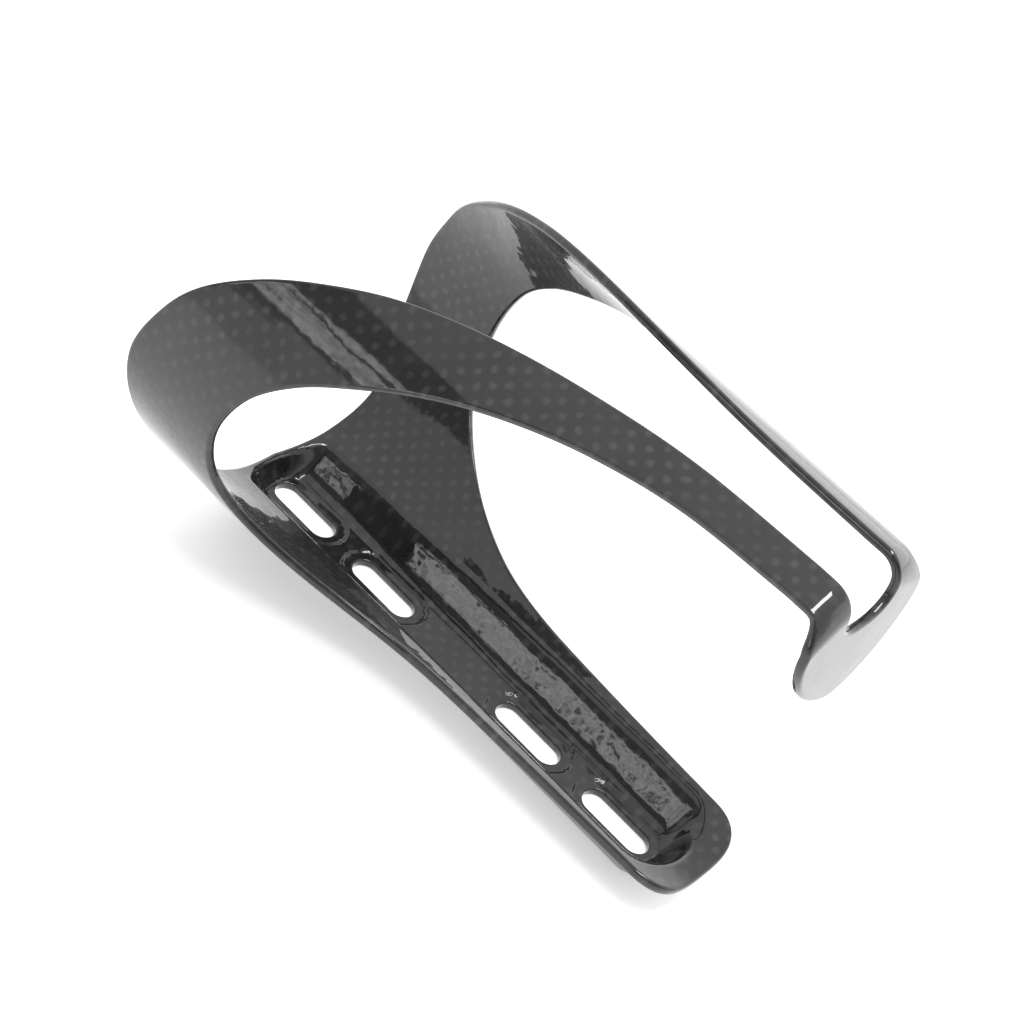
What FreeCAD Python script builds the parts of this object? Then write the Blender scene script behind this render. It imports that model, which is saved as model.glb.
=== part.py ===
import FreeCAD, Part
import math
import os

# Moulded carbon-fibre water bottle cage, mm.
# Frame: the spine lies on its mounting face. +Z points from that face to the bottle, +Y runs
# along the bottle to its mouth, +X is the right arm. The origin is the middle of the slot
# pattern on the mounting face.

# ---- driving dimensions -------------------------------------------------------------------
AXIS_Z = 46.2            # bottle axis above the mounting face
SHELL_T = 1.8            # laminate thickness
FRONT_R = 34.6           # inner radius over the strips
BACK_R = 38.2            # inner radius over the spine and wings
BLEND_FROM, BLEND_TO = 60.0, 120.0   # angles between which the radius changes
FLARE = 0.02             # growth of the radius per mm toward the mouth

BOLT_SPACING = 64.0      # the two mounting heights each use one slot pair this far apart
SLOT_OFFSET = 11.65      # shift of each pair from the middle of the spine
SLOT_LENGTH = 15.6
SLOT_WIDTH = 5.4
SEAT_MARGIN = 2.3        # shallow seat around each slot
SEAT_DEPTH = 0.35

FLOOR_T = 2.0            # floor of the mounting channel
FACE_CUT = 0.3           # ground off the back so that the mounting face is flat
POCKET_IN, POCKET_OUT = 4.3, 12.0    # foot and top of the channel wall, half widths
POCKET_FILLET = 0.38     # share of the wall taken by each fillet
POCKET_LO, POCKET_HI = -49.6, 50.1   # straight part of the channel
END_LO, END_HI = 1.35, 2.7            # how much steeper the wall is at each end
OUTER_GROW = 0.8         # the back of the channel is this much wider

SPINE_END = -62.5        # bottom end of the spine
SPINE_CORNER = 9.0
SEAM_X = 15.6            # spine and arms meet on this plane
CHANNEL_X = 13.0         # channel and flanges meet on this plane
TOE_Y = -44.0            # below this the channel piece has the full width

# Arm edges, as (angle from the front of the bottle, height along the bottle), root to foot.
MOUTH_EDGE = [(180, 55.6), (160, 54.4), (140, 55.6), (120, 62.4), (100, 65.2), (84, 62.8),
              (71, 58.4), (58, 50.0), (47, 40.0), (36.5, 28.0), (27, 12.0), (19.5, -6.0),
              (14, -26.0), (12, -52.0)]
BASE_EDGE = [(160.0, -62.0), (158.1, -25.0), (155.7, -3.0), (149.8, 12.0), (137.8, 27.0),
             (121.4, 39.0), (104, 42.6), (87, 40.0), (73.4, 33.2), (61.7, 23.7), (50.3, 12.6),
             (40.9, 0.7), (33, -13.0), (27, -30.0), (24.6, -52.0)]
# Section lines of the arm: (mouth edge position, base edge position), counted in stations.
SECTIONS = [(1.06, 1.56), (1.5, 2.1), (2.0, 2.8), (2.6, 3.6), (3.3, 4.5), (4.0, 5.3), (4.8, 6.2),
            (5.6, 7.1), (6.4, 8.0), (7.2, 8.9), (8.0, 9.7), (8.8, 10.5), (9.6, 11.3),
            (10.4, 12.0), (11.2, 12.6), (12.0, 13.15), (12.55, 13.6), (13.0, 14.0)]
ROOT_END = 41.0          # root and wing meet on a plane tilted this much from level
STRIP_TOP = 20.0         # wing and strip meet at this height
STRIP_END = -50.0        # strip and bend meet at this height

FOOT_FACE_Y = -58.9      # outside of the foot at the fold
FOOT_LEAN = 8.0          # lean of the foot from square, degrees
BEND_R = 3.6             # inner bend radius
NOTCH_HALF = 7.2         # half width of the gap between the strips
NOTCH_Z = 72.6           # deepest point of the gap
LEG_HALF = 14.6          # outer half width of the strips at the bend
EAR_Y = -55.8            # the foot widens from here outward
FOOT_HALF = 17.4         # half width of the foot
FOOT_SIDE_Z = 72.0       # height where the foot starts to narrow
FOOT_TIP_Z = 57.4
FOOT_TOP_Z = 74.0        # bends and foot meet at this height


# ---- shell surface ------------------------------------------------------------------------
def ease(a, b, v):
    u = min(1.0, max(0.0, (v - a) / (b - a)))
    return u * u * (3.0 - 2.0 * u)


def radius(angle, y):
    """Inner radius of the shell about the bottle axis."""
    grow = 0.5 * (y + math.sqrt(y * y + 100.0))
    return FRONT_R + (BACK_R - FRONT_R) * ease(BLEND_FROM, BLEND_TO, angle) + FLARE * grow


def ramp(u):
    """Straight wall with a fillet at its foot and at its top, 0 to 1."""
    u = min(1.0, max(0.0, u))
    f = POCKET_FILLET
    if u < f:
        return u * u / (2 * f * (1 - f))
    if u > 1 - f:
        return 1.0 - (1 - u) ** 2 / (2 * f * (1 - f))
    return (u - f / 2) / (1 - f)


def pocket(x, y, grow):
    """0 on the channel floor, 1 outside the channel."""
    if y > POCKET_HI:
        along = (y - POCKET_HI - 0.5 * grow) * END_HI
    else:
        along = (POCKET_LO - 0.5 * grow - y) * END_LO
    reach = math.hypot(x, max(0.0, along))
    return ramp((reach - POCKET_IN - grow) / (POCKET_OUT - POCKET_IN))


def shell_point(angle, y, depth):
    """Point of the shell; depth 0 is the bottle side, SHELL_T the outside."""
    a = math.radians(angle)
    r = radius(angle, y) + depth
    x = r * math.sin(a)
    z = AXIS_Z + r * math.cos(a)
    if angle > 150.0:
        floor = FLOOR_T - (FLOOR_T + FACE_CUT) * depth / SHELL_T
        z = floor + (z - floor) * pocket(x, y, OUTER_GROW * depth / SHELL_T)
    return FreeCAD.Vector(x, y, z)


def on_curve(stations, s):
    """Smooth curve through the stations at position s."""
    pts = [(float(a), float(b)) for a, b in stations]
    pts.insert(0, (2 * pts[0][0] - pts[1][0], 2 * pts[0][1] - pts[1][1]))
    pts.append((2 * pts[-1][0] - pts[-2][0], 2 * pts[-1][1] - pts[-2][1]))
    i = min(int(s), len(stations) - 2)
    t = s - i
    p = pts[i:i + 4]
    w = (-t + 2 * t * t - t ** 3, 2 - 5 * t * t + 3 * t ** 3,
         t + 4 * t * t - 3 * t ** 3, -t * t + t ** 3)
    return tuple(0.5 * sum(w[k] * p[k][c] for k in range(4)) for c in (0, 1))


# ---- helpers ------------------------------------------------------------------------------
def surface(rows):
    """Smooth face through a grid of points."""
    skin = Part.BSplineSurface()
    skin.interpolate(rows)
    return skin.toShape()


def plate(inner, outer):
    """Solid between two grids of points."""
    skins = [surface(inner), surface(outer)]
    rims = [[Part.Edge(e.Curve, *e.ParameterRange) for e in skin.Edges] for skin in skins]
    shell = Part.makeShell(skins + [Part.makeRuledSurface(p, q, 1) for p, q in zip(*rims)])
    shell.sewShape()
    solid = Part.makeSolid(shell)
    return solid if solid.Volume > 0 else solid.reversed()


def block(x0, x1, y0, y1, z0, z1):
    return Part.makeBox(x1 - x0, y1 - y0, z1 - z0, FreeCAD.Vector(x0, y0, z0))


def prism(points, vector):
    return Part.Face(Part.makePolygon(points + points[:1])).extrude(vector)


def stadium(y, length, width, z0, height):
    """Slot-shaped prism along Y, centred on x = 0."""
    r = width / 2.0
    h = length / 2.0 - r
    body = block(-r, r, y - h, y + h, z0, z0 + height)
    for end in (y - h, y + h):
        body = body.fuse(Part.makeCylinder(r, height, FreeCAD.Vector(0, end, z0)))
    return body.removeSplitter()


def mirror(shape):
    return shape.mirror(FreeCAD.Vector(0, 0, 0), FreeCAD.Vector(1, 0, 0))


def half_space(point, normal):
    """Large block on the side of the plane the normal points to."""
    box = Part.makeBox(400, 400, 400, FreeCAD.Vector(-200, -200, 0))
    box.Placement = FreeCAD.Placement(point, FreeCAD.Rotation(FreeCAD.Vector(0, 0, 1), normal))
    return box


def one_solid(shape):
    return max(shape.Solids, key=lambda s: s.Volume)


# ---- spine --------------------------------------------------------------------------------
def spine_row(y, depth):
    """Points across the spine at one height."""
    row = []
    for i in range(45):
        off = 30.0 * (i / 22.0 - 1.0)
        p = shell_point(180.0 - abs(off), y, depth)
        row.append(FreeCAD.Vector(math.copysign(p.x, off), p.y, p.z))
    return row


def plan_edge(stations, s_end):
    """Plan view of a shell edge from the first station to the seam with the arm."""
    line = []
    for i in range(41):
        angle, y = on_curve(stations, s_end * i / 40.0)
        p = shell_point(angle, y, 0.0)
        if p.x >= SEAM_X:
            x0, y0 = line[-1]
            return line + [(SEAM_X, y0 + (p.y - y0) * (SEAM_X - x0) / (p.x - x0))]
        line.append((p.x, p.y))


def spine_outline():
    """Plan outline of the spine, up to the seams with the arms."""
    side = plan_edge(BASE_EDGE, 3.0)
    half, start = [p for p in side if p[1] > SPINE_END + SPINE_CORNER][0]
    right = []
    for i in range(13):
        a = math.pi / 2 * i / 12
        right.append((half * math.sin(a) ** 0.6,
                      SPINE_END + (start - SPINE_END) * (1 - math.cos(a) ** 0.75)))
    right += [p for p in side if p[1] > start + 0.5]
    right += plan_edge(MOUTH_EDGE, 2.0)[::-1]
    left = [(-x, y) for x, y in right[::-1] if x > 1e-6]
    return [FreeCAD.Vector(x, y, -5) for x, y in right + left]


heights = [-64.0 + 1.2 * i for i in range(15)]
heights += [-44.0 + 6.0 * i for i in range(15)] + [44.0, 47.0]
heights += [POCKET_HI - 0.8 + 0.6 * i for i in range(14)]
spine = plate([spine_row(y, 0.0) for y in heights], [spine_row(y, SHELL_T) for y in heights])
spine = spine.common(prism(spine_outline(), FreeCAD.Vector(0, 0, 30)))
for side in (-1, 1):
    for centre in (side * BOLT_SPACING / 2 - SLOT_OFFSET, side * BOLT_SPACING / 2 + SLOT_OFFSET):
        spine = spine.cut(stadium(centre, SLOT_LENGTH, SLOT_WIDTH, -1, 6))
        seat = stadium(centre, SLOT_LENGTH + 2 * SEAT_MARGIN, SLOT_WIDTH + 2 * SEAT_MARGIN,
                       FLOOR_T - SEAT_DEPTH, 3.0)
        spine = spine.cut(seat)
spine = spine.cut(block(-40, 40, -80, 80, -5, 0))
flange_zone = block(CHANNEL_X, 40, TOE_Y, 80, -5, 40)
flange_right = one_solid(spine.common(flange_zone))
channel = one_solid(spine.cut(flange_zone).cut(mirror(flange_zone)))

# ---- right arm ----------------------------------------------------------------------------
def arm_row(s_mouth, s_base, depth):
    """Points across the arm between its two edges."""
    a0, y0 = on_curve(MOUTH_EDGE, s_mouth)
    a1, y1 = on_curve(BASE_EDGE, s_base)
    return [shell_point(a0 + (a1 - a0) * i / 12.0, y0 + (y1 - y0) * i / 12.0, depth)
            for i in range(13)]


arm = plate([arm_row(a, b, 0.0) for a, b in SECTIONS],
            [arm_row(a, b, SHELL_T) for a, b in SECTIONS])
arm = arm.cut(block(-60, SEAM_X, -80, 80, -20, 40))
arm = arm.cut(block(-60, 60, -80, STRIP_END, 40, 120))
tilt = math.radians(ROOT_END)
root_zone = half_space(FreeCAD.Vector(0, 0, AXIS_Z - 12.0),
                       FreeCAD.Vector(math.sin(tilt), 0, -math.cos(tilt)))
strip_zone = block(-10, 60, -80, STRIP_TOP, 50, 120)
root_right = one_solid(arm.common(root_zone))
above = arm.cut(root_zone)
strip_right = one_solid(above.common(strip_zone))
wing_right = one_solid(above.cut(strip_zone))


# ---- foot ---------------------------------------------------------------------------------
def fold_row(x, depth):
    """Side profile of the strip end, the bend and the foot at one width."""
    lean = math.radians(FOOT_LEAN)
    z_in = AXIS_Z + math.sqrt(FRONT_R ** 2 - x * x)
    zc = z_in - BEND_R
    yc = FOOT_FACE_Y + (zc - 76.4) * math.tan(lean) + (BEND_R + SHELL_T) / math.cos(lean)
    r = BEND_R + depth
    turn = math.radians(90.0) - lean
    row = [FreeCAD.Vector(x, STRIP_END + (yc - STRIP_END) * i / 3.0, zc + r) for i in range(3)]
    for i in range(7):
        a = turn * i / 6.0
        row.append(FreeCAD.Vector(x, yc - r * math.sin(a), zc + r * math.cos(a)))
    down = FreeCAD.Vector(0, -math.cos(turn), -math.sin(turn)) * ((zc - 54.0) / 20.0)
    for i in range(20):
        row.append(row[-1] + down)
    return row


def foot_outline():
    """Front outline of the foot with the gap between the strips."""
    right = [(0.0, NOTCH_Z)]
    for i in range(1, 9):
        a = math.pi / 2 * i / 8
        right.append((NOTCH_HALF * math.sin(a) ** 0.75, NOTCH_Z + 4.0 * (1 - math.cos(a))))
    right += [(NOTCH_HALF, 95.0), (FOOT_HALF, 95.0), (FOOT_HALF, FOOT_SIDE_Z)]
    for i in range(1, 13):
        a = math.pi / 2 * i / 12
        right.append((FOOT_HALF * math.cos(a) ** 1.2,
                      FOOT_SIDE_Z - (FOOT_SIDE_Z - FOOT_TIP_Z) * math.sin(a) ** 1.2))
    left = [(-x, z) for x, z in right[::-1] if x > 1e-3]
    return [FreeCAD.Vector(x, -80, z) for x, z in right[:-1] + [(0.0, FOOT_TIP_Z)] + left]


widths = [4.5 * i - 18.0 for i in range(9)]
folded = plate([fold_row(x, 0.0) for x in widths], [fold_row(x, SHELL_T) for x in widths])
folded = folded.common(prism(foot_outline(), FreeCAD.Vector(0, 40, 0)))
for ear in (block(LEG_HALF, 30, EAR_Y, -40, 40, 95), block(-30, -LEG_HALF, EAR_Y, -40, 40, 95)):
    folded = folded.cut(ear)
foot = one_solid(folded.common(block(-30, 30, -90, -40, 40, FOOT_TOP_Z)))
bends = folded.cut(block(-30, 30, -90, -40, 40, FOOT_TOP_Z))
bend_right = one_solid(bends.common(block(0, 30, -90, -40, 40, 120)))

# ---- output -------------------------------------------------------------------------------
parts = {
    "spine_channel": channel,
    "flange_right": flange_right,
    "root_right": root_right,
    "wing_right": wing_right,
    "strip_right": strip_right,
    "bend_right": bend_right,
    "foot": foot,
}
for name in list(parts):
    if name.endswith("_right"):
        parts[name.replace("_right", "_left")] = one_solid(mirror(parts[name]))

os.makedirs("parts", exist_ok=True)
for name, shape in parts.items():
    assert shape.isValid() and shape.Volume > 1.0, name
    shape.exportStep("parts/%s.step" % name)
    box = shape.BoundBox
    print("%-14s %8.1f mm3  x %.1f..%.1f  y %.1f..%.1f  z %.1f..%.1f" % (
        name, shape.Volume, box.XMin, box.XMax, box.YMin, box.YMax, box.ZMin, box.ZMax))
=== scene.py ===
import math
import bpy
import numpy as np
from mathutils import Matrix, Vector
from mathutils.geometry import delaunay_2d_cdt


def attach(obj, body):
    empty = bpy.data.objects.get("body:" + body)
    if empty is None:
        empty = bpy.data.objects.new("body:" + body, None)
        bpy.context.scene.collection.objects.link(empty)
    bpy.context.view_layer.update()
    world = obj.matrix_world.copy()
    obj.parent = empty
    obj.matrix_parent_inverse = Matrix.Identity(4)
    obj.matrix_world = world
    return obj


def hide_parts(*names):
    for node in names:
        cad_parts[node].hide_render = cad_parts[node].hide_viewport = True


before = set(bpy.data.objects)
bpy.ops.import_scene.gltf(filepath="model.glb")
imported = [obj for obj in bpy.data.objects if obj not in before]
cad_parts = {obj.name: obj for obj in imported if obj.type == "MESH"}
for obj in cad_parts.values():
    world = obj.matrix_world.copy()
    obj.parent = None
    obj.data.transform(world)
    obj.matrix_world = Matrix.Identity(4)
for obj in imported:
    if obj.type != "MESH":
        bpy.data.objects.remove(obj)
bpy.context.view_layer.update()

# Moulded carbon-fibre water bottle cage. The moulding is worked out in mm from the same laws as
# the CAD part, drawn on an unrolled plan, and placed in the frame in metres.
PI = math.pi
MM = 0.001

# ---- shape of the moulding, which follows the CAD part --------------------------------------
AXIS_Z = 46.2            # bottle axis above the mounting face
SHELL_T = 1.8            # laminate thickness
FRONT_R = 34.6           # inner radius over the strips
BACK_R = 38.2            # inner radius over the spine and wings
BLEND_FROM, BLEND_TO = 60.0, 120.0   # angles between which the radius changes
FLARE = 0.02             # growth of the radius per mm toward the mouth
FLARE_SOFT = 10.0        # the growth sets in over about this length

BOLT_SPACING = 64.0      # the two mounting heights each use one slot pair this far apart
SLOT_OFFSET = 11.65      # shift of each pair from the middle of the spine
SLOTS = [side * BOLT_SPACING / 2 + shift
         for side in (-1, 1) for shift in (-SLOT_OFFSET, SLOT_OFFSET)]
SLOT_LENGTH, SLOT_WIDTH = 15.6, 5.4
SEAT_MARGIN = 2.3        # shallow seat around each slot
SEAT_SOFT = 0.4          # half width of the slope at the seat's edge
SEAT_DEPTH = 0.35

FLOOR_T = 2.0            # floor of the mounting channel
FACE_CUT = 0.3           # ground off the back so that the mounting face is flat
POCKET_ANGLE = 150.0     # the channel is pressed into the shell beyond this angle
POCKET_IN, POCKET_OUT = 4.3, 12.0    # foot and top of the channel wall, half widths
POCKET_FILLET = 0.38     # share of the wall taken by each fillet
POCKET_LO, POCKET_HI = -49.6, 50.1   # straight part of the channel
END_LO, END_HI = 1.35, 2.7           # how much steeper the wall is at each end
OUTER_GROW = 0.8         # the back of the channel is this much wider

SPINE_END = -62.5        # bottom end of the spine
SPINE_CORNER = 9.0
CORNER_X_POWER, CORNER_Y_POWER = 0.6, 0.75   # fullness of the spine's rounded corners
SEAM_X, SEAM_Z = 15.6, 14.0          # the spine piece ends at this half width and height

# Arm edges, as (angle from the front of the bottle, height along the bottle), root to foot.
MOUTH_EDGE = [(180, 55.6), (160, 54.4), (140, 55.6), (120, 62.4), (100, 65.2), (84, 62.8),
              (71, 58.4), (58, 50.0), (47, 40.0), (36.5, 28.0), (27, 12.0), (19.5, -6.0),
              (14, -26.0), (12, -52.0)]
BASE_EDGE = [(160.0, -62.0), (158.1, -25.0), (155.7, -3.0), (149.8, 12.0), (137.8, 27.0),
             (121.4, 39.0), (104, 42.6), (87, 40.0), (73.4, 33.2), (61.7, 23.7), (50.3, 12.6),
             (40.9, 0.7), (33, -13.0), (27, -30.0), (24.6, -52.0)]
EDGE_SAMPLES = 400
STRIP_END = -50.0        # strip and bend meet at this height
STRIP_WIDTH_FROM = 60.0  # the base edge reaches the strip end beyond this plan width

FOOT_FACE_Y, FOOT_FACE_Z = -58.9, 76.4       # a point of the foot's outside, at the fold
LEAN = math.radians(8.0)             # lean of the foot from square
BEND_R = 3.6             # inner bend radius
BEND_TURN = PI / 2 - LEAN
NOTCH_Z = 72.6           # deepest point of the gap between the strips
NOTCH_RISE = 4.0         # the gap reaches its full width this much higher
NOTCH_POWER = 0.75
EAR_START, EAR_RUN = 0.8, 3.6        # past the start of the bend the strip widens to the foot
FOOT_HALF = 17.4         # half width of the foot
FOOT_SIDE_Z, FOOT_TIP_Z = 72.0, 57.4         # the foot narrows between these heights
TIP_POWER = 1.2

# ---- mesh ----------------------------------------------------------------------------------
END_R = 34.61            # inner radius where the strips meet the bends
LAY_R = 34.377           # unrolling radius of the plan and the cloth
EDGE_R = 0.75            # softening of the outer edges
SLOT_EDGE_R = 0.45       # softening of the slots
RIM_STEPS = 8
RIM_DEPTH_POWER, RIM_BULGE_POWER = 0.75, 0.7
STEP = 0.6
COLUMN_GAP = 0.87        # distance between columns of mesh points, in steps
LOOP_GAP = 0.6           # mesh points keep this far from the edges, in steps
PROBE = 0.02             # half the distance over which slopes are measured, mm

# ---- carbon --------------------------------------------------------------------------------
TOW = LAY_R * PI / 56.0  # tow width; a full turn is a whole number of weave repeats
CLOTH_UNIT = 100.0       # mm of cloth in one unit of the cloth coordinate
DARK_TONE, LIT_TONE, STRAND_TONE, CLOUD_TONE = 0.009, 0.024, 0.006, 0.005

# ---- room ----------------------------------------------------------------------------------
FLOOR_HALF = 3.0
FLOOR_COLOUR = (0.86, 0.86, 0.86)
ROOM_LEVEL = 1.15
# Zones of the room: (range of turn, range of rise, softness) in degrees, and brightness.
# Turn is counted from +Y toward -X, and rise from the horizon.
ZONES = (
    ((-150, -40), (-6, 36), 5.0, 2.1),       # white wall on the right arm's side
    ((76, 178), (15, 50), 2.5, 0.34),        # dark corner past the foot's end
    ((28, 100), (13, 46), 1.5, 0.28),        # dark wall around the windows
    ((65, 90), (16, 29), 1.2, 3.4),          # window that the channel wall reflects
    ((46, 65), (16, 30), 1.2, 2.8),          # window that the left wing reflects
)
WINDOW_LEVEL = 2.5       # brighter zones are windows, broken up by leaves


# ---- laws of the shape ---------------------------------------------------------------------
def ease(low, high, value):
    share = np.clip((value - low) / (high - low), 0.0, 1.0)
    return share * share * (3.0 - 2.0 * share)


def radius(angle, y):
    """Inner radius of the shell about the bottle axis."""
    grow = 0.5 * (y + np.sqrt(y * y + FLARE_SOFT ** 2))
    return FRONT_R + (BACK_R - FRONT_R) * ease(BLEND_FROM, BLEND_TO, angle) + FLARE * grow


def ramp(share):
    """Straight wall with a fillet at its foot and at its top, 0 to 1."""
    u = np.clip(share, 0.0, 1.0)
    f = POCKET_FILLET
    low = u * u / (2 * f * (1 - f))
    high = 1.0 - (1 - u) ** 2 / (2 * f * (1 - f))
    return np.where(u < f, low, np.where(u > 1 - f, high, (u - f / 2) / (1 - f)))


def pocket(x, y, grow):
    """0 on the channel floor, 1 outside the channel."""
    up = (y - POCKET_HI - 0.5 * grow) * END_HI
    down = (POCKET_LO - 0.5 * grow - y) * END_LO
    reach = np.hypot(x, np.maximum(0.0, np.where(y > POCKET_HI, up, down)))
    return ramp((reach - POCKET_IN - grow) / (POCKET_OUT - POCKET_IN))


def slot_distance(x, y):
    """Distance to the nearest slot's edge, negative inside."""
    r = SLOT_WIDTH / 2
    straight = SLOT_LENGTH / 2 - r
    return np.min([np.hypot(x, np.maximum(0.0, np.abs(y - centre) - straight)) - r
                   for centre in SLOTS], axis=0)


def shell(plan, depth):
    """Places plan points (unrolled width, height) on the shell; depth 0 faces the bottle."""
    width, y = plan[:, 0], plan[:, 1]
    angle = 180.0 - np.degrees(np.abs(width) / LAY_R)
    turn = np.radians(angle)
    r = radius(angle, y) + depth
    x, z = r * np.sin(turn), AXIS_Z + r * np.cos(turn)
    share = depth / SHELL_T
    floor = FLOOR_T - (FLOOR_T + FACE_CUT) * share
    pressed = floor + (z - floor) * pocket(x, y, OUTER_GROW * share)
    on_spine = angle > POCKET_ANGLE
    z = np.where(on_spine, pressed, z)
    beyond = ease(SEAT_MARGIN - SEAT_SOFT, SEAT_MARGIN + SEAT_SOFT, slot_distance(x, y))
    seat = SEAT_DEPTH * (1.0 - beyond) * (1.0 - share) * on_spine
    return np.stack([np.sign(width) * x, y, np.maximum(z - seat, 0.0)], 1)


def bend_start(x):
    """Height of the bend's axis, and the length of strip before the bend, at width x."""
    axis_z = AXIS_Z + np.sqrt(END_R ** 2 - x * x) - BEND_R
    axis_y = (FOOT_FACE_Y + (axis_z - FOOT_FACE_Z) * math.tan(LEAN)
              + (BEND_R + SHELL_T) / math.cos(LEAN))
    return axis_z, STRIP_END - axis_y


def fold(plan, depth):
    """Places plan points (width, run); run goes from the strip round the bend down the foot."""
    x, run = plan[:, 0], plan[:, 1]
    axis_z, start = bend_start(x)
    turn = np.clip((run - start) / BEND_R, 0.0, BEND_TURN)
    down = np.maximum(0.0, run - start - BEND_R * BEND_TURN)
    lean_x = (1.0 - ease(0.0, 1.0, turn / BEND_TURN)) * x / END_R
    lean_z = np.sqrt(1.0 - lean_x * lean_x)
    y = (STRIP_END - np.minimum(run, start) - BEND_R * np.sin(turn)
         - math.cos(BEND_TURN) * down)
    z = axis_z + BEND_R * np.cos(turn) - math.sin(BEND_TURN) * down
    return np.stack([x + depth * lean_x * np.cos(turn),
                     y - depth * np.sin(turn),
                     z + depth * lean_z * np.cos(turn)], 1)


def fold_run(x, z):
    """Run at which the inside of the fold reaches height z."""
    axis_z, start = bend_start(x)
    turn = np.arccos(np.clip((z - axis_z) / BEND_R, math.cos(BEND_TURN), 1.0))
    down = np.maximum(0.0, axis_z + BEND_R * math.cos(BEND_TURN) - z) / math.sin(BEND_TURN)
    return start + BEND_R * turn + down


def shell_cloth(plan):
    return np.stack([-plan[:, 0], plan[:, 1]], 1)


def fold_cloth(plan):
    return np.stack([LAY_R * np.arcsin(plan[:, 0] / END_R), STRIP_END - plan[:, 1]], 1)


# ---- lines on the plan ---------------------------------------------------------------------
def on_curve(stations, at):
    """Smooth curve through the stations at positions counted in stations."""
    points = np.array(stations, float)
    points = np.vstack([2 * points[0] - points[1], points, 2 * points[-1] - points[-2]])
    first = np.minimum(at.astype(int), len(stations) - 2)
    t = (at - first)[:, None]
    weights = (-t + 2 * t ** 2 - t ** 3, 2 - 5 * t ** 2 + 3 * t ** 3,
               t + 4 * t ** 2 - 3 * t ** 3, t ** 3 - t ** 2)
    return 0.5 * sum(weight * points[first + k] for k, weight in enumerate(weights))


def unrolled(stations):
    """Plan line of an arm edge."""
    curve = on_curve(stations, np.linspace(0.0, len(stations) - 1, EDGE_SAMPLES))
    return np.stack([LAY_R * np.radians(180.0 - curve[:, 0]), curve[:, 1]], 1)


def resample(line):
    """Points one step apart along a line, ends kept."""
    distance = np.r_[0, np.cumsum(np.hypot(*np.diff(line, axis=0).T))]
    count = max(2, int(round(distance[-1] / STEP)) + 1)
    at = np.linspace(0, distance[-1], count)
    return np.stack([np.interp(at, distance, line[:, k]) for k in (0, 1)], 1)


def inset(line, keep_first, keep_last):
    """Line moved to its left by the edge radius; each end keeps one of its coordinates."""
    run = np.gradient(line, axis=0)
    run /= np.hypot(run[:, 0], run[:, 1])[:, None]
    moved = line + np.stack([-run[:, 1], run[:, 0]], 1) * EDGE_R
    moved[0, keep_first] = line[0, keep_first]
    moved[-1, keep_last] = line[-1, keep_last]
    return moved


def closed(*lines):
    """Loop made of the lines of its right half and their mirror image."""
    right = np.vstack(lines)
    left = (right * (-1, 1))[::-1]
    return np.vstack([right, left[1:-1]])


def slot_loop(centre, grow):
    """Plan line round a slot, clockwise."""
    r = SLOT_WIDTH / 2 + grow
    straight = SLOT_LENGTH / 2 - SLOT_WIDTH / 2
    turn = np.linspace(0, PI, 17)
    top = np.stack([r * np.cos(turn), centre + straight + r * np.sin(turn)], 1)
    bottom = np.stack([-r * np.cos(turn), centre - straight - r * np.sin(turn)], 1)
    loop = np.vstack([top, bottom])[::-1]
    loop[:, 0] = np.arcsin(loop[:, 0] / radius(180.0, loop[:, 1])) * LAY_R
    return loop


def seam_pairs(first, count, total):
    """Neighbouring points of a mirrored loop that lie on the seams between strips and bends."""
    right = {(i, i + 1) for i in range(first, first + count)}
    left = {((total - j) % total, (total - i) % total) for i, j in right}
    return right | left


# ---- meshing: a plan with loops becomes a closed plate with soft edges ----------------------
def inside(points, loops):
    """True where a point is inside an odd number of loops."""
    hit = np.zeros(len(points), bool)
    for loop in loops:
        for (x0, y0), (x1, y1) in zip(loop, np.roll(loop, -1, axis=0)):
            if y0 == y1:
                continue
            level = (points[:, 1] >= min(y0, y1)) & (points[:, 1] < max(y0, y1))
            edge_x = x0 + (points[:, 1] - y0) * (x1 - x0) / (y1 - y0)
            hit ^= level & (points[:, 0] < edge_x)
    return hit


def near_loop(points, loops, gap):
    """True where a point is closer than gap to a point of a loop."""
    cells = {}
    for x, y in np.vstack(loops):
        cells.setdefault((int(x // gap), int(y // gap)), []).append((x, y))
    near = np.zeros(len(points), bool)
    for k, (x, y) in enumerate(points):
        column, row = int(x // gap), int(y // gap)
        around = [other for i in (-1, 0, 1) for j in (-1, 0, 1)
                  for other in cells.get((column + i, row + j), ())]
        near[k] = any((a - x) ** 2 + (b - y) ** 2 < gap * gap for a, b in around)
    return near


def lattice(loops):
    """Points inside the loops, on staggered columns."""
    low, high = loops[0].min(0), loops[0].max(0)
    columns = []
    for k, x in enumerate(np.arange(low[0], high[0], STEP * COLUMN_GAP)):
        y = np.arange(low[1] + (k % 2) * STEP / 2, high[1], STEP)
        columns.append(np.stack([np.full(len(y), x), y], 1))
    points = np.vstack(columns)
    points = points[inside(points, loops)]
    return points[~near_loop(points, loops, STEP * LOOP_GAP)]


def triangulate(loops):
    """Points and triangles of the area within the loops, and the new number of each loop point."""
    points = np.vstack(loops + [lattice(loops)])
    edges, base = [], 0
    for loop in loops:
        count = len(loop)
        edges += [(base + i, base + (i + 1) % count) for i in range(count)]
        base += count
    result = delaunay_2d_cdt([Vector(p) for p in points], edges, [], 0, 1e-7)
    points = np.array([tuple(p) for p in result[0]])
    triangles = np.array([face for face in result[2] if len(face) == 3])
    triangles = triangles[inside(points[triangles].mean(1), loops)]
    a, b, c = (points[triangles[:, k]] for k in range(3))
    backward = np.cross(b - a, c - a) < 0
    triangles[backward] = triangles[backward][:, ::-1]
    number = {old: new for new, olds in enumerate(result[3]) for old in olds}
    return points, triangles, number


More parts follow.
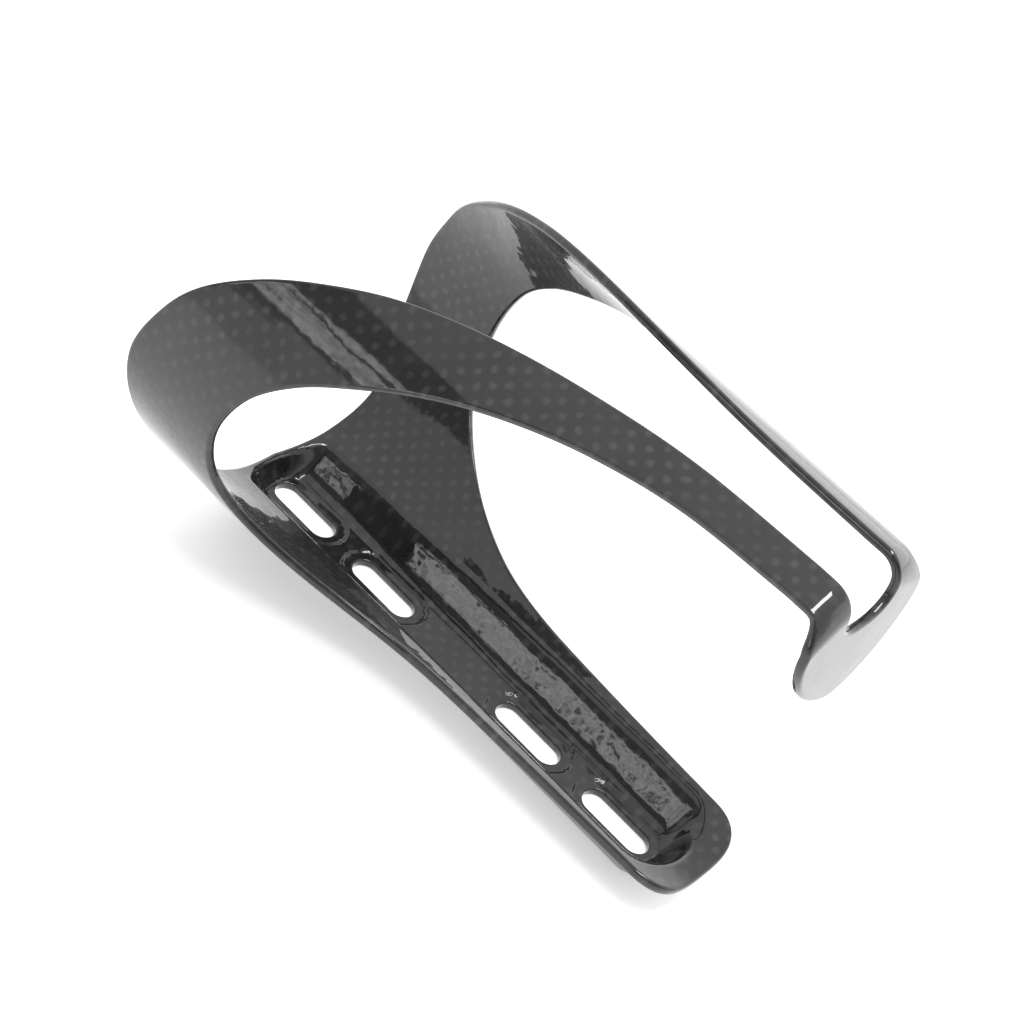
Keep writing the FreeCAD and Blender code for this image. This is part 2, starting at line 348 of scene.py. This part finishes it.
class Moulding:
    """Collects faces and points, each point with a normal, a cloth coordinate and an inner mask."""

    def __init__(self):
        self.points, self.normals, self.cloth, self.inner, self.faces = [], [], [], [], []
        self.count = 0

    def add(self, points, normals, cloth, depth):
        """Adds a set of points and returns their numbers."""
        self.points.append(points)
        self.normals.append(normals)
        self.cloth.append(cloth)
        self.inner.append(np.full(len(points), 1.0 - depth / SHELL_T))
        self.count += len(points)
        return np.arange(self.count - len(points), self.count)

    def plate(self, place, lay, loops, open_pairs):
        """Adds a plate between its two skins.

        place takes plan points and a depth into space, and lay takes them onto the cloth. loops
        holds pairs of an edge line and the line inset from it, the outline first. The outline
        has no rim between the points of open_pairs, where the next plate is joined on.
        """
        points, triangles, number = triangulate([inner for _, inner in loops])
        skins = []
        for depth, sign in ((0.0, 1.0), (SHELL_T, -1.0)):
            across = place(points + (PROBE, 0), depth) - place(points - (PROBE, 0), depth)
            ahead = place(points + (0, PROBE), depth) - place(points - (0, PROBE), depth)
            normals = np.cross(across, ahead) * sign
            normals /= np.linalg.norm(normals, axis=1)[:, None]
            skins.append(self.add(place(points, depth), normals, lay(points), depth))
        self.faces.append(skins[0][triangles])
        self.faces.append(skins[1][triangles[:, ::-1]])
        base = 0
        for line, inner in loops:
            ring = np.array([number[base + i] for i in range(len(inner))])
            self.rim(place, lay, line, inner, [skin[ring] for skin in skins],
                     () if base else open_pairs)
            base += len(inner)

    def rim(self, place, lay, line, inner, skins, open_pairs):
        """Rounded edge between the two skins, bulging from the inner line out to the edge line."""
        depths, rows = [], []
        for k in range(1, RIM_STEPS):
            turn = PI * k / RIM_STEPS
            level = math.copysign(abs(math.cos(turn)) ** RIM_DEPTH_POWER, math.cos(turn))
            depth = SHELL_T * (0.5 - 0.5 * level)
            bulge = abs(math.sin(turn)) ** RIM_BULGE_POWER
            rows.append(place(inner, depth) * (1 - bulge) + place(line, depth) * bulge)
            depths.append(depth)
        stack = np.array([place(inner, 0.0)] + rows + [place(inner, SHELL_T)])
        ahead = np.roll(stack, -1, axis=1) - stack
        behind = stack - np.roll(stack, 1, axis=1)
        for first, last in open_pairs:
            ahead[:, first] = 0.0
            behind[:, last] = 0.0
        normals = np.cross(np.gradient(stack, axis=0), ahead + behind)
        normals /= np.maximum(1e-9, np.linalg.norm(normals, axis=2))[:, :, None]
        between = [self.add(row, normals[k + 1], lay(inner), depths[k])
                   for k, row in enumerate(rows)]
        rings = [skins[0]] + between + [skins[1]]
        count = len(inner)
        here = np.array([i for i in range(count) if (i, (i + 1) % count) not in open_pairs])
        there = (here + 1) % count
        for a, b in zip(rings, rings[1:]):
            self.faces.append(np.stack([a[here], b[here], b[there]], 1))
            self.faces.append(np.stack([a[here], b[there], a[there]], 1))

    def split(self, piece_of):
        """Mesh data of each piece; piece_of gives the piece's number from the face centres."""
        points, normals = np.vstack(self.points), np.vstack(self.normals)
        cloth, inner = np.vstack(self.cloth), np.concatenate(self.inner)
        faces = np.vstack(self.faces)
        piece = piece_of(points[faces].mean(1))
        for k in np.unique(piece):
            used, renumbered = np.unique(faces[piece == k], return_inverse=True)
            yield k, points[used], normals[used], cloth[used], inner[used], renumbered.reshape(-1, 3)


# ---- spine, wings and strips in one plan ----------------------------------------------------
def strip_crossing(a, b):
    """Point between a and b at the strip end."""
    return a + (b - a) * (STRIP_END - a[1]) / (b[1] - a[1])


def shell_edges():
    """Right half: base edge from the spine end to the strip end, mouth edge back to the middle."""
    base = unrolled(BASE_EDGE)
    base = base[base[:, 1] > SPINE_END + SPINE_CORNER]
    turn = np.linspace(0, PI / 2, 40)
    corner_y = SPINE_END + (base[0, 1] - SPINE_END) * (1 - np.cos(turn) ** CORNER_Y_POWER)
    corner = np.stack([base[0, 0] * np.sin(turn) ** CORNER_X_POWER, corner_y], 1)
    base = np.vstack([corner[:-1], base])
    end = np.argmax((base[:, 1] <= STRIP_END) & (base[:, 0] > STRIP_WIDTH_FROM))
    base = np.vstack([base[:end], strip_crossing(base[end - 1], base[end])])
    mouth = unrolled(MOUTH_EDGE)[::-1]
    start = np.argmax(mouth[:, 1] > STRIP_END)
    mouth = np.vstack([strip_crossing(mouth[start - 1], mouth[start]), mouth[start:]])
    return resample(base), resample(mouth)


def add_shell(moulding):
    """Adds the shell; returns the plan widths across its right seam, from the base edge on."""
    base, mouth = shell_edges()
    base_in, mouth_in = inset(base, 0, 1), inset(mouth, 1, 0)
    steps = max(3, int(round(abs(mouth_in[0, 0] - base_in[-1, 0]) / STEP)))
    share = np.linspace(0, 1, steps + 1)[1:-1, None]
    seam = base_in[-1] + share * (mouth_in[0] - base_in[-1])
    outline = closed(base_in, seam, mouth_in)
    loops = [(closed(base, seam, mouth), outline)]
    loops += [(slot_loop(centre, 0.0), slot_loop(centre, SLOT_EDGE_R)) for centre in SLOTS]
    moulding.plate(shell, shell_cloth, loops, seam_pairs(len(base) - 1, steps, len(outline)))
    return np.r_[base[-1, 0], base_in[-1, 0], seam[:, 0], mouth_in[0, 0], mouth[0, 0]]


# ---- bends and foot -------------------------------------------------------------------------
def fold_edges(gap_x, side_x):
    """Right half of the foot: the gap from the middle to the seam, the outside to the tip."""
    turn = np.linspace(0, PI / 2, 24)
    x = gap_x * np.sin(turn) ** NOTCH_POWER
    gap = np.stack([x, fold_run(x, NOTCH_Z + NOTCH_RISE * (1 - np.cos(turn)))], 1)
    gap = np.vstack([gap, [(gap_x, 0.0)]])
    share = np.linspace(0, 1, 16)
    ear_x = side_x + (FOOT_HALF - side_x) * ease(0, 1, share)
    ear = np.stack([ear_x, bend_start(side_x)[1] + EAR_START + EAR_RUN * share], 1)
    turn = np.linspace(0, PI / 2, 50)
    x = FOOT_HALF * np.cos(turn) ** TIP_POWER
    z = FOOT_SIDE_Z - (FOOT_SIDE_Z - FOOT_TIP_Z) * np.sin(turn) ** TIP_POWER
    outside = np.vstack([[(side_x, 0.0)], ear, np.stack([x, fold_run(x, z)], 1)])
    outside[-1, 0] = 0.0
    return resample(gap), resample(outside)


def add_fold(moulding, seam_widths):
    """Adds the bends and the foot onto the seams of the shell."""
    x = END_R * np.sin(PI - seam_widths[::-1] / LAY_R)
    gap, outside = fold_edges(x[0], x[-1])
    gap_in, outside_in = inset(gap, 0, 1), inset(outside, 1, 0)
    gap_in[-1, 0], outside_in[0, 0] = x[1], x[-2]
    seam = np.stack([x[2:-2], np.zeros(len(x) - 4)], 1)
    outline = closed(gap_in, seam, outside_in)
    moulding.plate(fold, fold_cloth, [(closed(gap, seam, outside), outline)],
                   seam_pairs(len(gap) - 1, len(seam) + 1, len(outline)))


# ---- carbon under a clear coat --------------------------------------------------------------
class Nodes:
    """Wires the shader nodes of a material or world."""

    def __init__(self, owner):
        owner.use_nodes = True
        self.tree = owner.node_tree

    def make(self, kind, inputs=(), **settings):
        node = self.tree.nodes.new(kind)
        for key, value in settings.items():
            setattr(node, key, value)
        for key, value in dict(inputs).items():
            self.put(node, key, value)
        return node

    def put(self, node, key, value):
        if isinstance(value, bpy.types.NodeSocket):
            self.tree.links.new(value, node.inputs[key])
        else:
            node.inputs[key].default_value = value

    def math(self, operation, a, b=0.0, c=0.0):
        return self.make("ShaderNodeMath", {0: a, 1: b, 2: c}, operation=operation).outputs[0]

    def shift(self, vector, offset):
        return self.make("ShaderNodeVectorMath", {0: vector, 1: offset}).outputs[0]

    def noise(self, vector, scale, detail=2.0, rough=0.5):
        inputs = {"Vector": vector, "Scale": scale, "Detail": detail, "Roughness": rough}
        return self.make("ShaderNodeTexNoise", inputs).outputs["Fac"]

    def span(self, value, a, b, low=0.0, high=1.0):
        inputs = {0: value, 1: a, 2: b, 3: low, 4: high}
        return self.make("ShaderNodeMapRange", inputs, interpolation_type="SMOOTHSTEP").outputs[0]

    def grey(self, level, blue=None):
        blue = level if blue is None else blue
        return self.make("ShaderNodeCombineColor", {0: level, 1: level, 2: blue}).outputs[0]


def drift(n, place, offset):
    """Wandering of the tows, in tow widths."""
    moved = n.shift(place, offset)
    broad = n.math("MULTIPLY_ADD", n.noise(moved, 30.0), 1.2, -0.6)
    fine = n.math("MULTIPLY_ADD", n.noise(moved, 320.0), 0.7, -0.35)
    return n.math("ADD", broad, fine)


def crown(n, tow):
    """Round back of a tow, from its running number."""
    across = n.math("SUBTRACT", n.math("FRACT", tow), 0.5)
    return n.math("SUBTRACT", 1.0, n.math("MULTIPLY", n.math("MULTIPLY", across, across), 4.0))


def carbon():
    """Plain weave with its crossings catching the light, under a thick and slightly wavy resin."""
    material = bpy.data.materials.new("carbon")
    n = Nodes(material)
    across, ahead, _ = n.make("ShaderNodeSeparateXYZ", {
        0: n.make("ShaderNodeUVMap", uv_map="cloth").outputs[0]}).outputs
    place = n.make("ShaderNodeTexCoord").outputs["Object"]

    warp = n.math("MULTIPLY_ADD", across, CLOTH_UNIT / TOW, drift(n, place, (0, 0, 0)))
    weft = n.math("MULTIPLY_ADD", ahead, CLOTH_UNIT / TOW, drift(n, place, (3, 1, 2)))
    crossing = n.math("ADD", n.math("FLOOR", warp), n.math("FLOOR", weft))
    warp_on_top = n.math("FLOORED_MODULO", crossing, 2.0)
    arch = n.math("MULTIPLY", crown(n, warp), crown(n, weft))
    fibres = n.make("ShaderNodeCombineXYZ", {0: n.math("MULTIPLY", warp, 9.0), 1: weft})
    strand = n.noise(fibres.outputs[0], 1.0)
    height = n.math("ADD", n.math("MULTIPLY", arch, 0.8), n.math("MULTIPLY", strand, 0.2))
    weave = n.make("ShaderNodeBump", {"Strength": 0.3, "Distance": 0.0001, "Height": height})

    patchy = n.span(n.noise(place, 90.0, 3.0), 0.30, 0.70, 0.25, 1.0)
    lit = n.math("MULTIPLY", n.math("MULTIPLY", n.span(arch, 0.2, 1.0), warp_on_top), patchy)
    cloud = n.span(n.noise(n.shift(place, (5, 2, 1)), 120.0, 3.0), 0.3, 0.7)
    tone = n.math("MULTIPLY_ADD", lit, LIT_TONE, DARK_TONE)
    tone = n.math("ADD", tone, n.math("MULTIPLY", strand, STRAND_TONE))
    tone = n.math("ADD", tone, n.math("MULTIPLY", cloud, CLOUD_TONE))

    lumps = n.noise(place, 190.0, 2.0, 0.5)
    waves = n.noise(n.shift(place, (1, 4, 2)), 55.0, 2.0, 0.4)
    resin = n.math("ADD", n.math("MULTIPLY", lumps, 0.16), n.math("MULTIPLY", waves, 0.8))
    inner = n.make("ShaderNodeAttribute", attribute_name="inner").outputs["Fac"]
    resin = n.math("MULTIPLY", resin, n.math("MULTIPLY_ADD", inner, 0.7, 0.3))
    coat = n.make("ShaderNodeBump", {"Strength": 0.7, "Distance": 0.0012, "Height": resin})

    for key, value in {
            "Base Color": n.grey(tone, n.math("MULTIPLY", tone, 1.04)),
            "Metallic": 0.5,
            "Roughness": n.math("ADD", 0.38, n.math("MULTIPLY", strand, 0.15)),
            "Specular IOR Level": 0.06,
            "Normal": weave.outputs[0],
            "Coat Weight": 1.0,
            "Coat Roughness": 0.04,
            "Coat IOR": 1.52,
            "Coat Normal": coat.outputs[0]}.items():
        n.put(n.tree.nodes["Principled BSDF"], key, value)
    return material


# ---- pieces ---------------------------------------------------------------------------------
PIECES = (
    ("spine_shell", ("spine_channel", "flange_left", "flange_right")),
    ("arm_shell_right", ("root_right", "wing_right", "strip_right")),
    ("arm_shell_left", ("root_left", "wing_left", "strip_left")),
    ("foot_shell", ("bend_left", "bend_right", "foot")),
)
SPINE, ARM_RIGHT, ARM_LEFT, FOOT = range(len(PIECES))


def add_mesh(name, points, normals, cloth, inner, faces):
    """Mesh object with smooth normals; the inner mask is 1 on the bottle side, 0 outside."""
    mesh = bpy.data.meshes.new(name)
    mesh.from_pydata([tuple(p) for p in points * MM], [], [tuple(map(int, f)) for f in faces])
    mesh.polygons.foreach_set("use_smooth", [True] * len(mesh.polygons))
    mesh.normals_split_custom_set_from_vertices([tuple(p) for p in normals])
    corners = np.empty(len(mesh.loops), int)
    mesh.loops.foreach_get("vertex_index", corners)
    layer = mesh.uv_layers.new(name="cloth")
    layer.data.foreach_set("uv", (cloth[corners] / CLOTH_UNIT).ravel())
    mask = mesh.attributes.new("inner", "FLOAT", "POINT")
    mask.data.foreach_set("value", inner)
    piece = bpy.data.objects.new(name, mesh)
    bpy.context.scene.collection.objects.link(piece)
    return piece


def add_pieces():
    """Builds the whole moulding and cuts it into the visible pieces."""
    moulding = Moulding()
    seam_widths = add_shell(moulding)
    shell_faces = sum(len(faces) for faces in moulding.faces)
    add_fold(moulding, seam_widths)

    def piece_of(centres):
        piece = np.where(centres[:, 0] > 0, ARM_RIGHT, ARM_LEFT)
        piece[(np.abs(centres[:, 0]) < SEAM_X) & (centres[:, 2] < SEAM_Z)] = SPINE
        piece[shell_faces:] = FOOT
        return piece

    material = carbon()
    for number, *mesh_data in moulding.split(piece_of):
        name, nodes = PIECES[number]
        piece = add_mesh(name, *mesh_data)
        piece.data.materials.append(material)
        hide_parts(*nodes)
        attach(piece, "root")


# ---- floor, room, light and camera ----------------------------------------------------------
def add_floor():
    """Plain pale sheet that glows a little, so that it stays white round the shadow."""
    material = bpy.data.materials.new("floor")
    n = Nodes(material)
    grain = n.noise(n.make("ShaderNodeTexCoord").outputs["Object"], 30.0)
    shade = n.span(grain, 0.3, 0.7, 0.995, 1.0)
    tint = n.make("ShaderNodeVectorMath", {0: FLOOR_COLOUR, 3: shade}, operation="SCALE").outputs[0]
    for key, value in {"Base Color": tint, "Roughness": 0.9, "Emission Color": tint,
                       "Emission Strength": 0.5}.items():
        n.put(n.tree.nodes["Principled BSDF"], key, value)
    mesh = bpy.data.meshes.new("floor")
    corners = [(x * FLOOR_HALF, y * FLOOR_HALF, 0) for x, y in ((-1, -1), (1, -1), (1, 1), (-1, 1))]
    mesh.from_pydata(corners, [], [range(len(corners))])
    mesh.materials.append(material)
    floor = bpy.data.objects.new("floor", mesh)
    bpy.context.scene.collection.objects.link(floor)


def add_room():
    """Pale room with dark stretches and two windows, to light the moulding and show in its coat."""
    world = bpy.data.worlds.new("studio")
    bpy.context.scene.world = world
    n = Nodes(world)
    where = n.make("ShaderNodeTexCoord").outputs["Generated"]
    x, y, z = n.make("ShaderNodeSeparateXYZ", {0: where}).outputs

    def wobble(offset, scale, size):
        noise = n.noise(n.shift(where, offset), scale, 3.0, 0.6)
        return n.math("MULTIPLY_ADD", noise, size, -0.5 * size)

    def mask(value, limits, soft):
        low, high, s = (math.radians(v) for v in (*limits, soft))
        return n.math("MULTIPLY", n.span(value, low - s, low + s), n.span(value, high + s, high - s))

    turn = n.math("ARCTAN2", n.math("MULTIPLY", x, -1.0), y)
    turn = n.math("ADD", turn, wobble((0, 0, 0), 5.0, 0.35))
    rise = n.math("ADD", n.math("ARCSINE", z), wobble((2, 5, 1), 5.0, 0.30))
    leaves = n.math("MULTIPLY", n.span(wobble((7, 1, 3), 13.0, 1.0), -0.15, -0.07, 0.15, 1.0),
                    n.span(wobble((1, 8, 2), 30.0, 1.0), -0.2, 0.2, 0.7, 1.3))
    level = ROOM_LEVEL
    for turns, rises, soft, value in ZONES:
        chosen = n.math("MULTIPLY", mask(turn, turns, soft), mask(rise, rises, soft))
        if value > WINDOW_LEVEL:
            value = n.math("MULTIPLY", value, leaves)
        level = n.math("MULTIPLY_ADD", chosen, n.math("SUBTRACT", value, level), level)
    background = n.tree.nodes["Background"]
    n.put(background, "Color", n.grey(level))
    n.put(background, "Strength", 1.0)


def add_key_light():
    """Long overhead light, which draws the thin bright line along the bends."""
    data = bpy.data.lights.new("key", "AREA")
    data.shape = "RECTANGLE"
    data.size, data.size_y = 0.9, 0.2
    data.energy = 11.0
    lamp = bpy.data.objects.new("key", data)
    lamp.location = (0.0, -0.20, 1.30)
    lamp.rotation_euler = (-lamp.location).to_track_quat("-Z", "Y").to_euler()
    bpy.context.scene.collection.objects.link(lamp)


def add_camera():
    camera = bpy.data.objects.new("camera", bpy.data.cameras.new("camera"))
    bpy.context.scene.collection.objects.link(camera)
    camera.data.sensor_width = 36.0
    camera.data.lens = 68.54414
    camera.data.clip_start = 0.01
    camera.location = (-0.2465396, -0.1083662, 0.2587652)
    camera.rotation_euler = [math.radians(angle) for angle in (47.48906, -21.12208, -47.27401)]
    bpy.context.scene.camera = camera
    bpy.context.scene.view_settings.view_transform = "Standard"


add_pieces()
add_floor()
add_room()
add_key_light()
add_camera()
